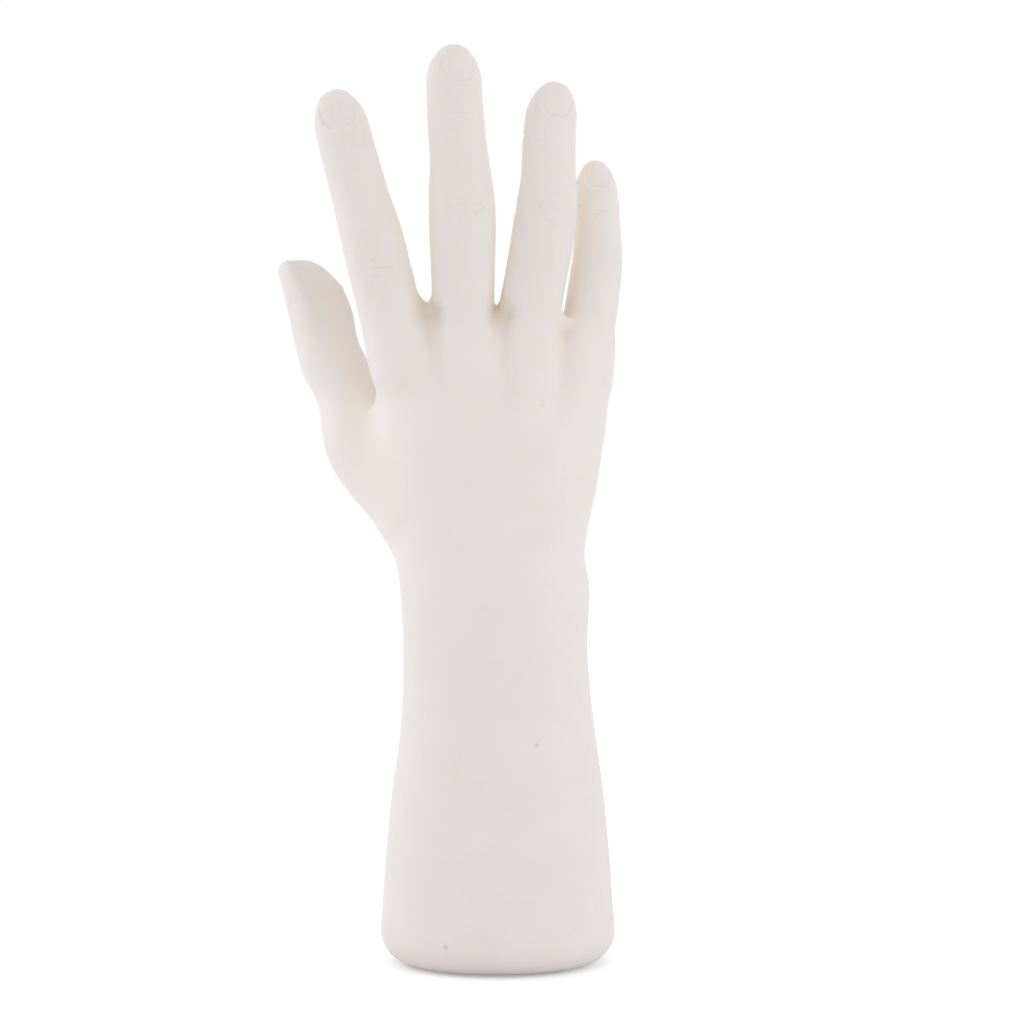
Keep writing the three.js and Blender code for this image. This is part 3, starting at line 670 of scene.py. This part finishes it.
def joint_height(name, line, place, across, up, phase):
    """Broken wrinkles over the back of a finger's joints and creases on their pad side."""
    height = np.zeros(len(place))
    toward_back = smooth_step(up, *TOWARD_BACK)
    toward_pad = smooth_step(-up, *TOWARD_PAD) * PAD_CREASE_SHARES.get(name, 1)
    for joint, at in (("knee", line["places"][2] + KNEE_SHIFTS.get(name, 0)), ("end", line["places"][4])):
        for offset, depth, half_width in BACK_WRINKLES[joint]:
            wave = WRINKLE_WAVE * np.sin(across * 0.8 + offset * 2.1 + phase)
            bow = (across / half_width) ** 2 * np.sign(offset) * min(abs(offset), FARTHEST_BOW) * WRINKLE_BOW
            run = place - at - offset - wave - bow
            broken = 0.55 + 0.45 * np.sin(across * 1.3 + offset * 3.7 + phase * 2.3)
            height -= depth * broken * bell(run, WRINKLE_WIDTH) * bell(across, half_width) * toward_back
        for offset, depth in PAD_CREASES[joint]:
            run = place - at - offset - PAD_CREASE_WAVE * np.sin(across * 0.7 + offset + phase)
            height -= depth * bell(run, PAD_CREASE_WIDTH) * toward_pad
    return height


def unevenness(points):
    """Slow, shallow swells, as a moulding made from a hand-worked pattern has."""
    random = np.random.default_rng(12)
    height = np.zeros(len(points))
    for length in SWELL_LENGTHS:
        for _ in range(SWELLS_PER_LENGTH):
            turn = unit(random.normal(size=3))
            swell = np.sin(points @ turn * 2 * np.pi / length + random.uniform(0, 6.28))
            height += swell * length / SWELL_LENGTHS[0]
    return height * UNEVENNESS / SWELL_SUM


def broad_height(points, normals):
    """The slow swells, tendons, valleys and knuckles: how far each raises or sinks the skin."""
    x, _, z = points.T
    height = unevenness(points) * smooth_step(z, *SWELLS_BEGIN)
    back = smooth_step(-normals[:, 1], *FACES_BACK)
    for start, end in TENDONS:
        distance, along = line_distance(x, z, start, end)
        ridge = (1 - TENDON_LOSS * along) * bell(distance, TENDON_WIDTH - along)
        height += TENDON_HEIGHT * ridge * back * smooth_step(z, *TENDON_FADE)
    for valley in VALLEYS:
        distance, along = curve_distance(x, z, valley)
        height -= VALLEY_DEPTH * (1 - along) * bell(distance, VALLEY_WIDTH) * back
    for (middle_x, middle_z), swell in KNUCKLES:
        distance = np.hypot(x - middle_x, (z - middle_z) * KNUCKLE_SLIMNESS)
        height += swell * bell(distance, KNUCKLE_WIDTH) * back
    for middle, swell, width in THUMB_SWELLS:
        height += swell * bell(np.linalg.norm(points - middle, axis=1), width)
    return height


def fine_height(points, normals):
    """How far the nails raise or sink the skin, and how far its creases sink it."""
    x, _, z = points.T
    nails = np.zeros(len(points))
    height = np.zeros(len(points))
    palm = smooth_step(normals[:, 1], *FACES_PALM)
    for points_xz, depth, width in PALM_CREASES:
        distance, along = curve_distance(x, z, points_xz)
        fade = smooth_step(along, 0, PALM_CREASE_BEGINS) * smooth_step(1 - along, 0, PALM_CREASE_ENDS)
        height -= depth * bell(distance, width) * fade * palm
    for number, (name, line) in enumerate(LINES.items()):
        away = np.abs(finger_distance(points, line))
        near = away < FINGER_FADE
        place, across, up = finger_places(points[near], line)
        plate, added = nail_height(name, line, place, across, up)
        added += joint_height(name, line, place, across, up, number * FINGER_PHASE)
        for points_xz, depth, width in BACK_CREASES.get(name, []):
            distance, _ = curve_distance(x[near], z[near], points_xz)
            added -= depth * bell(distance, width) * smooth_step(up, *TOWARD_BACK)
        if name != "thumb":
            root = line["places"][1] * ROOT_CREASE_PLACE
            for offset, depth in ROOT_CREASES:
                run = place - root - offset
                added -= depth * bell(run, ROOT_CREASE_WIDTH) * smooth_step(-up, *AT_PAD)
        share = smooth_step(FINGER_FADE - away[near], 0, FINGER_FADE / 2)
        nails[near] += plate * share
        height[near] += added * share
    return nails, height


def web_painted_shade_mask(points):
    """The mask for the painted shade in the webs: how deep in a web between two fingers, or at the top of a
    valley, each point lies, from 0 to 1.
    """
    second = np.sort([finger_distance(points, line) for line in LINES.values()], axis=0)[1]
    x, y, z = points.T
    ends = 1 - WEB_LOSS * smooth_step(z, *WEB_ENDS)
    web_painted_shade = bell(np.maximum(second, 0), WEB_REACH) * smooth_step(z, *WEB_BEGINS) * ends
    high = (z > VALLEY_PAINTED_SHADE_LOW) & (y < 0)
    for valley in VALLEYS:
        distance, along = curve_distance(x[high], z[high], valley)
        fade = (1 - along) ** VALLEY_PAINTED_SHADE_POWER
        at_valley = VALLEY_PAINTED_SHADE * bell(distance, VALLEY_PAINTED_SHADE_WIDTH) * fade
        web_painted_shade[high] = np.maximum(web_painted_shade[high], at_valley * (z[high] < WEB_ENDS[0]))
    return web_painted_shade


def hemmed_in(points, normals):
    """How much each point is hemmed in by other skin before it, from 0 to 1, and more so at the thumb: the
    mask for the painted warm bounce light.
    """
    openness = np.zeros(len(points))
    for reach in HEMMED_REACHES:
        openness += np.clip(outer_distance(points + normals * reach) / reach, 0, 1) / len(HEMMED_REACHES)
    return 1 - openness ** (1 + smooth_step(-points[:, 0], *THUMB_BEGINS))


def wants_fine_faces(points):
    """Which points lie at the nails and at the creases over the joints."""
    wanted = np.zeros(len(points), bool)
    for name, line in LINES.items():
        near = np.flatnonzero(np.abs(finger_distance(points, line)) < FINGER_FADE)
        place, across, up = finger_places(points[near], line)
        nail = NAILS[name]
        beside = np.abs(across - nail["aside"])
        from_tip = line["total"] - place
        at_nail = (from_tip < nail["length"] + FINE_PAST_ROOT) & (up > 0)
        at_nail &= beside < nail["half_width"] + FINE_BESIDE_NAIL
        creased = np.zeros(len(near), bool)
        for points_xz, _, width in BACK_CREASES.get(name, []):
            distance, _ = curve_distance(points[near, 0], points[near, 2], points_xz)
            creased |= distance < width + FINE_BESIDE_CREASE
        wanted[near[at_nail | (creased & (up > 1))]] = True
    return wanted


def in_scene(name, data):
    """A new object in the scene."""
    thing = bpy.data.objects.new(name, data)
    bpy.context.scene.collection.objects.link(thing)
    return thing


def new_object(name, points, faces):
    """An object from points in millimetres and four-sided faces."""
    mesh = bpy.data.meshes.new(name)
    mesh.vertices.add(len(points))
    mesh.vertices.foreach_set("co", (points * MM).astype(np.float32).ravel())
    mesh.loops.add(faces.size)
    mesh.loops.foreach_set("vertex_index", faces.astype(np.int32).ravel())
    mesh.polygons.add(len(faces))
    mesh.polygons.foreach_set("loop_start", np.arange(0, faces.size, 4, dtype=np.int32))
    mesh.polygons.foreach_set("loop_total", np.full(len(faces), 4, np.int32))
    mesh.update(calc_edges=True)
    mesh.validate()
    return in_scene(name, mesh)


def split_faces(thing, wanted, cuts):
    """Cuts the faces whose corners are all wanted into smaller ones, and shades all smooth. Gives back the
    points, in millimetres, and the directions that they face."""
    work = bmesh.new()
    work.from_mesh(thing.data)
    work.verts.ensure_lookup_table()
    edges = [edge for edge in work.edges if all(wanted[vertex.index] for vertex in edge.verts)]
    bmesh.ops.subdivide_edges(work, edges=edges, cuts=cuts, use_grid_fill=True)
    for face in work.faces:
        face.smooth = True
    work.to_mesh(thing.data)
    work.free()
    columns = []
    for kind in ("co", "normal"):
        values = np.zeros(len(thing.data.vertices) * 3, np.float32)
        thing.data.vertices.foreach_get(kind, values)
        columns.append(values.reshape(-1, 3).astype(float))
    points, normals = columns
    return points / MM, unit(normals)


def raised(points, normals):
    """The skin's points with all its detail, and how far each lies in a crease, in a web and hemmed in: the
    masks for painted shade in creases and webs and for painted warm bounce light.
    """
    outside = outer_distance(points) > -OUTSIDE_DEPTH
    points[outside] = onto_surface(outer_distance, points[outside])
    at, facing = points[outside], normals[outside]
    nails, creases = fine_height(at, facing)
    found = {
        "height": broad_height(at, facing) + (nails + creases),
        # Painted shade in the creases
        "crease": np.clip(-creases - CREASE_SHOWS, 0, CREASE_DARKEST) / 2,
        # Painted shade in the webs and at the tops of the valleys
        "web_painted_shade": web_painted_shade_mask(at),
        # Painted warm bounce light where other skin hems the skin in
        "hemmed": hemmed_in(at, facing),
    }
    shades = {name: np.zeros(len(points)) for name in found}
    for name, values in found.items():
        shades[name][outside] = values
    return points + normals * shades.pop("height")[:, None], shades


GRID = 0.65
GRID_MARGIN = 2
# The heights from which the grid's levels have a new spacing, as a share of the grid's own
GRID_STOPS = [(SKIN_LOW - 1, 0.9), (BROADEST_HEIGHT, 2), (150, 1.5), (206, 1)]


def hand_skin():
    low, high = [np.array(corner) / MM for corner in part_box("hand_skin")]
    low -= GRID_MARGIN
    high += GRID_MARGIN
    xs, ys = [levels([(low[k], GRID), (high[k], None)]) for k in range(2)]
    zs = levels([*((stop, share * GRID) for stop, share in GRID_STOPS), (high[2], None)])
    points, faces = surface_of(skin_distance, xs, ys, zs)
    skin = new_object("hand_skin_moulded", points, faces)
    points, shades = raised(*split_faces(skin, wants_fine_faces(points), FINE_CUTS))
    skin.data.vertices.foreach_set("co", (points * MM).astype(np.float32).ravel())
    for name, values in shades.items():
        skin.data.attributes.new(name, "FLOAT", "POINT").data.foreach_set("value", values.astype(np.float32))
    skin.data.update()
    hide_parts("hand_skin")
    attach(skin, "root")
    return skin


# Materials

def new_material(name, color, roughness, metallic=0.0, specular=0.5):
    """A material with one Principled shader, its node tree, and the socket for places on the object."""
    material = bpy.data.materials.new(name)
    material.use_nodes = True
    shader = material.node_tree.nodes["Principled BSDF"]
    shader.inputs["Base Color"].default_value = (*color, 1)
    shader.inputs["Roughness"].default_value = roughness
    shader.inputs["Metallic"].default_value = metallic
    shader.inputs["Specular IOR Level"].default_value = specular
    place = material.node_tree.nodes.new("ShaderNodeTexCoord").outputs["Object"]
    return material, material.node_tree, shader, place


def new_node(tree, kind, inputs, output, **settings):
    """A new shader node, its inputs set to values or linked to sockets. Gives back one of its outputs."""
    node = tree.nodes.new("ShaderNode" + kind)
    for name, setting in settings.items():
        setattr(node, name, setting)
    for key, value in inputs.items():
        if isinstance(value, bpy.types.NodeSocket):
            tree.links.new(value, node.inputs[key])
        else:
            node.inputs[key].default_value = value
    return node.outputs[output]


def noise(tree, place, size_mm, detail=3.0, roughness=0.5, stretch=(1, 1, 1)):
    """Procedural noise whose features are about the size given."""
    at = new_node(tree, "Mapping", {"Vector": place, "Scale": stretch}, "Vector")
    inputs = {"Vector": at, "Scale": 1 / (size_mm * MM), "Detail": detail, "Roughness": roughness}
    return new_node(tree, "TexNoise", inputs, "Fac")


def voronoi(tree, place, size_mm):
    """The distance from the nearest of many cells' middles."""
    return new_node(tree, "TexVoronoi", {"Vector": place, "Scale": 1 / (size_mm * MM)}, "Distance")


def ramp(tree, value, stops):
    """A colour ramp through stops of (place, colour)."""
    node = tree.nodes.new("ShaderNodeValToRGB")
    while len(node.color_ramp.elements) < len(stops):
        node.color_ramp.elements.new(0.5)
    for element, (place, color) in zip(node.color_ramp.elements, stops):
        element.position = place
        element.color = (*color, 1)
    tree.links.new(value, node.inputs["Fac"])
    return node.outputs["Color"]


def spread(tree, value, low, high, start=0.0, end=1.0, kind="LINEAR"):
    """A value from start..end moved to low..high."""
    inputs = {"Value": value, "From Min": start, "From Max": end, "To Min": low, "To Max": high}
    return new_node(tree, "MapRange", inputs, "Result", interpolation_type=kind)


def mixed(tree, factor, first, second):
    """The colour between a socket's and another one."""
    return new_node(tree, "Mix", {0: factor, 6: first, 7: (*second, 1)}, 2, data_type="RGBA")


def linked(tree, shader, color, roughness, *layers):
    """Links a shader to its colour, its roughness if that varies, and bumps of (height, depth in mm)."""
    tree.links.new(color, shader.inputs["Base Color"])
    if roughness is not None:
        tree.links.new(roughness, shader.inputs["Roughness"])
    below = {}
    for height, depth_mm in layers:
        inputs = {"Height": height, "Distance": depth_mm * MM, **below}
        below = {"Normal": new_node(tree, "Bump", inputs, "Normal")}
    tree.links.new(below["Normal"], shader.inputs["Normal"])


# The skin's colours: its lighter and darker patches, the painted shade in its creases (a colour also given to
# small specks), the painted shade in its webs, and the painted warm bounce light where it is hemmed in
SKIN_LIGHT = (0.84, 0.796, 0.784)
SKIN_SHADE = (0.815, 0.767, 0.75)
SPECK_AND_PAINTED_CREASE_SHADE = (0.62, 0.56, 0.51)
WEB_PAINTED_SHADE = (0.81, 0.7, 0.595)
HOLLOW_PAINTED_WARM_LIGHT = (0.905, 0.84, 0.765)

# Painted light and shade by height: how light the skin is drawn at each height, against its own colour,
# lightest over the back of the hand and darker at the foot and the fingers where less light falls
PAINTED_LIGHT_BY_HEIGHT = [(0.0, 0.95), (20.0, 0.97), (95.0, 0.98), (145.0, 1.0), (180.0, 1.0), (205.0, 0.975), (230.0, 0.955),
         (300.0, 0.955)]

# Small dark marks, painted shade of tiny casting pits that are not in the surface itself: their colour, the
# shares of
#  the radius where one ends and is darkest, and the place, radius and strength of each
PIT_PAINTED_SHADE = (0.24, 0.2, 0.17)
MARK_ENDS = 2.2
MARK_DARKEST = 0.8
MARKS = [
    ((12.8, -23.9, 74.3), 0.5, 0.2),
    ((23.8, -20.0, 71.5), 0.4, 0.2),
    ((14.7, -21.0, 183.8), 0.45, 0.12),
    ((-16.6, -31.0, 10.6), 0.5, 0.25),
    ((25.4, -27.6, 15.3), 0.9, 0.2),
]


def with_painted_light_by_height(tree, place, color):
    """The colour with painted light and shade: a little lighter or darker by height."""
    up = new_node(tree, "SeparateXYZ", {"Vector": place}, "Z")
    height = spread(tree, up, 0.0, 1.0, end=PAINTED_LIGHT_BY_HEIGHT[-1][0] * MM)
    stops = [(at / PAINTED_LIGHT_BY_HEIGHT[-1][0], (tone, tone, tone)) for at, tone in PAINTED_LIGHT_BY_HEIGHT]
    inputs = {0: 1, 6: color, 7: ramp(tree, height, stops)}
    return new_node(tree, "Mix", inputs, 2, data_type="RGBA", blend_type="MULTIPLY")


def skin_material():
    material, tree, shader, place = new_material("vinyl_skin", SKIN_LIGHT, 0.52, specular=0.32)
    shader.inputs["Subsurface Weight"].default_value = 0.35
    shader.inputs["Subsurface Radius"].default_value = (1.0, 0.65, 0.5)
    shader.inputs["Subsurface Scale"].default_value = 0.004
    mottle = noise(tree, place, 22, detail=4, roughness=0.6)
    color = ramp(tree, mottle, [(0.3, SKIN_SHADE), (0.7, SKIN_LIGHT)])
    # Painted light and shade by height
    color = with_painted_light_by_height(tree, place, color)
    speck = noise(tree, place, 1.3, detail=2)
    color = mixed(tree, ramp(tree, speck, [(0.21, (0.2, 0.2, 0.2)), (0.29, (0, 0, 0))]), color, SPECK_AND_PAINTED_CREASE_SHADE)
    # Painted light and shade from the masks: warm bounce light where hemmed in, shade in the webs and in the
    # creases
    for name, shade in (("hemmed", HOLLOW_PAINTED_WARM_LIGHT), ("web_painted_shade", WEB_PAINTED_SHADE), ("crease", SPECK_AND_PAINTED_CREASE_SHADE)):
        color = mixed(tree, new_node(tree, "Attribute", {}, "Fac", attribute_name=name), color, shade)
    # Painted shade of tiny casting pits
    for centre, radius, darkness in MARKS:
        inputs = {0: place, 1: tuple(c * MM for c in centre)}
        distance = new_node(tree, "VectorMath", inputs, "Value", operation="DISTANCE")
        near = spread(tree, distance, 0.0, darkness, radius * MM * MARK_ENDS, radius * MM * MARK_DARKEST,
                      "SMOOTHSTEP")
        color = mixed(tree, near, color, PIT_PAINTED_SHADE)
    linked(tree, shader, color, spread(tree, noise(tree, place, 9), 0.46, 0.6),
           (noise(tree, place, 3.2), 0.10), (noise(tree, place, 0.7, detail=2), 0.035))
    return material


def foam_material():
    material, tree, shader, place = new_material("open_foam", (0.8, 0.72, 0.5), 0.95, specular=0.1)
    pores = voronoi(tree, place, 1.4)
    tone = ramp(tree, noise(tree, place, 14), [(0.3, (0.72, 0.62, 0.4)), (0.7, (0.84, 0.77, 0.56))])
    # Painted shade in the pores, darkest where the bumps sink deepest
    pore_painted_shade = ramp(tree, pores, [(0.0, (0.7, 0.7, 0.7)), (0.5, (0, 0, 0))])
    linked(tree, shader, mixed(tree, pore_painted_shade, tone, (0.5, 0.42, 0.25)), None, (pores, 0.7))
    return material


def iron_material():
    material, tree, shader, place = new_material("cast_iron", (0.2, 0.2, 0.21), 0.6, metallic=1.0)
    color = ramp(tree, noise(tree, place, 6, detail=5, roughness=0.65),
                 [(0.32, (0.10, 0.10, 0.105)), (0.6, (0.24, 0.24, 0.25)), (0.78, (0.27, 0.2, 0.15))])
    linked(tree, shader, color, spread(tree, noise(tree, place, 3), 0.5, 0.85),
           (noise(tree, place, 1.2, detail=4), 0.3))
    return material


def cap_material():
    material, tree, shader, place = new_material("moulded_cap", (0.74, 0.72, 0.69), 0.45, specular=0.4)
    patches = noise(tree, place, 12, detail=4)
    color = ramp(tree, patches, [(0.3, (0.68, 0.66, 0.62)), (0.7, (0.76, 0.745, 0.715))])
    linked(tree, shader, color, spread(tree, noise(tree, place, 5), 0.38, 0.56),
           (noise(tree, place, 0.6, detail=2), 0.04))
    return material


def pad_material():
    material, tree, shader, place = new_material("rubber_pad", (0.045, 0.045, 0.047), 0.85, specular=0.3)
    dust = ramp(tree, noise(tree, place, 5, detail=6, roughness=0.7),
                [(0.42, (0.035, 0.035, 0.037)), (0.62, (0.07, 0.068, 0.066)), (0.8, (0.16, 0.155, 0.15))])
    linked(tree, shader, dust, None, (voronoi(tree, place, 0.9), 0.2))
    return material


def steel_material():
    material, tree, shader, place = new_material("zinc_steel", (0.6, 0.61, 0.63), 0.35, metallic=1.0)
    color = ramp(tree, noise(tree, place, 2.5, detail=4), [(0.3, (0.5, 0.5, 0.5)), (0.7, (0.66, 0.67, 0.69))])
    grain = noise(tree, place, 1.5, stretch=(1, 1, 8))
    linked(tree, shader, color, spread(tree, grain, 0.25, 0.5),
           (noise(tree, place, 0.4, stretch=(1, 1, 6)), 0.02))
    return material


def dress(thing, material):
    thing.data.materials.clear()
    thing.data.materials.append(material)


# Floor, light and camera

# The floor: its size in metres, its colour, and how much lighter it is seen than lit
FLOOR_SIZE = 12
FLOOR_COLOR = (0.9, 0.9, 0.9)
FLOOR_GLOW = 0.3
# The world's light: its strength level with the hand and from above, and the rises between which it falls
LEVEL_LIGHT = 0.88
STEEP_LIGHT = 0.84
LEVEL_RISE = 0.15
STEEP_RISE = 0.85
# The lamps: name, place and size in metres, and watts. All shine on the hand's middle.
LAMPS = [("key", (1.4, -0.8, 0.35), (1.2, 1.6), 5.5), ("rim", (-1.5, 0.1, 0.3), (1.6, 1.8), 8)]
LAMP_TARGET = (0, 0, 0.16)
# The camera: its sensor's width, the picture's width and the focal length in pixels, and its place
SENSOR = 36.0
IMAGE_PIXELS = 1024
FOCAL_PIXELS = 2100
CAMERA_X = 4.7
CAMERA_AWAY = 700
CAMERA_HEIGHT = 149.3


def seen_rays(tree):
    """1 for a ray by which the background is seen, straight or in a reflection, and 0 for one that lights."""
    path = tree.nodes.new("ShaderNodeLightPath")
    seen = path.outputs["Is Camera Ray"]
    for kind in ("Is Glossy Ray", "Is Transmission Ray"):
        seen = new_node(tree, "Math", {0: seen, 1: path.outputs[kind]}, "Value", operation="MAXIMUM")
    return seen


def floor():
    """A pale floor that the camera sees a little lighter than it is lit."""
    bpy.ops.mesh.primitive_plane_add(size=FLOOR_SIZE)
    plane = bpy.context.object
    plane.name = "floor"
    material = bpy.data.materials.new("pale_floor")
    material.use_nodes = True
    tree = material.node_tree
    tree.nodes.clear()
    output = tree.nodes.new("ShaderNodeOutputMaterial")
    diffuse = new_node(tree, "BsdfDiffuse", {"Color": (*FLOOR_COLOR, 1)}, "BSDF")
    strength = spread(tree, seen_rays(tree), 0.0, FLOOR_GLOW)
    glow = new_node(tree, "Emission", {"Strength": strength}, "Emission")
    both = new_node(tree, "AddShader", {0: diffuse, 1: glow}, "Shader")
    tree.links.new(both, output.inputs["Surface"])
    dress(plane, material)


def world():
    """Pale light from all round, weaker from above, seen by the camera as white."""
    sky = bpy.data.worlds.new("studio")
    sky.use_nodes = True
    bpy.context.scene.world = sky
    tree = sky.node_tree
    background = tree.nodes["Background"]
    background.inputs["Color"].default_value = (1, 1, 1, 1)
    direction = new_node(tree, "TexCoord", {}, "Generated")
    rise = new_node(tree, "SeparateXYZ", {"Vector": direction}, "Z")
    light = spread(tree, rise, LEVEL_LIGHT, STEEP_LIGHT, LEVEL_RISE, STEEP_RISE, "SMOOTHSTEP")
    tree.links.new(spread(tree, seen_rays(tree), light, 1.0), background.inputs["Strength"])


def soft_light(name, place, size, watts):
    lamp = bpy.data.lights.new(name, "AREA")
    lamp.shape = "RECTANGLE"
    lamp.size, lamp.size_y = size
    lamp.energy = watts
    thing = in_scene(name, lamp)
    thing.location = place
    aim = Vector(LAMP_TARGET) - Vector(place)
    thing.rotation_euler = aim.to_track_quat("-Z", "Y").to_euler()


def camera():
    """The photograph's view: level, straight at the back of the hand."""
    eye = bpy.data.cameras.new("camera")
    eye.sensor_width = SENSOR
    eye.lens = FOCAL_PIXELS / IMAGE_PIXELS * SENSOR
    eye.clip_end = 50
    thing = in_scene("camera", eye)
    thing.location = (CAMERA_X * MM, -CAMERA_AWAY * MM, CAMERA_HEIGHT * MM)
    thing.rotation_euler = (np.pi / 2, 0, 0)
    bpy.context.scene.camera = thing


camera()
floor()
world()
for lamp in LAMPS:
    soft_light(*lamp)

skin = hand_skin()
dress(skin, skin_material())
steel = steel_material()
finishes = {"foam_core": foam_material(), "ballast_weight": iron_material(), "foot_cap": cap_material(),
            "base_pad": pad_material()}
for name, node in frame["nodes"].items():
    if name != "hand_skin":
        dress(node, finishes.get(name, steel))

bpy.context.scene.view_settings.view_transform = "Standard"
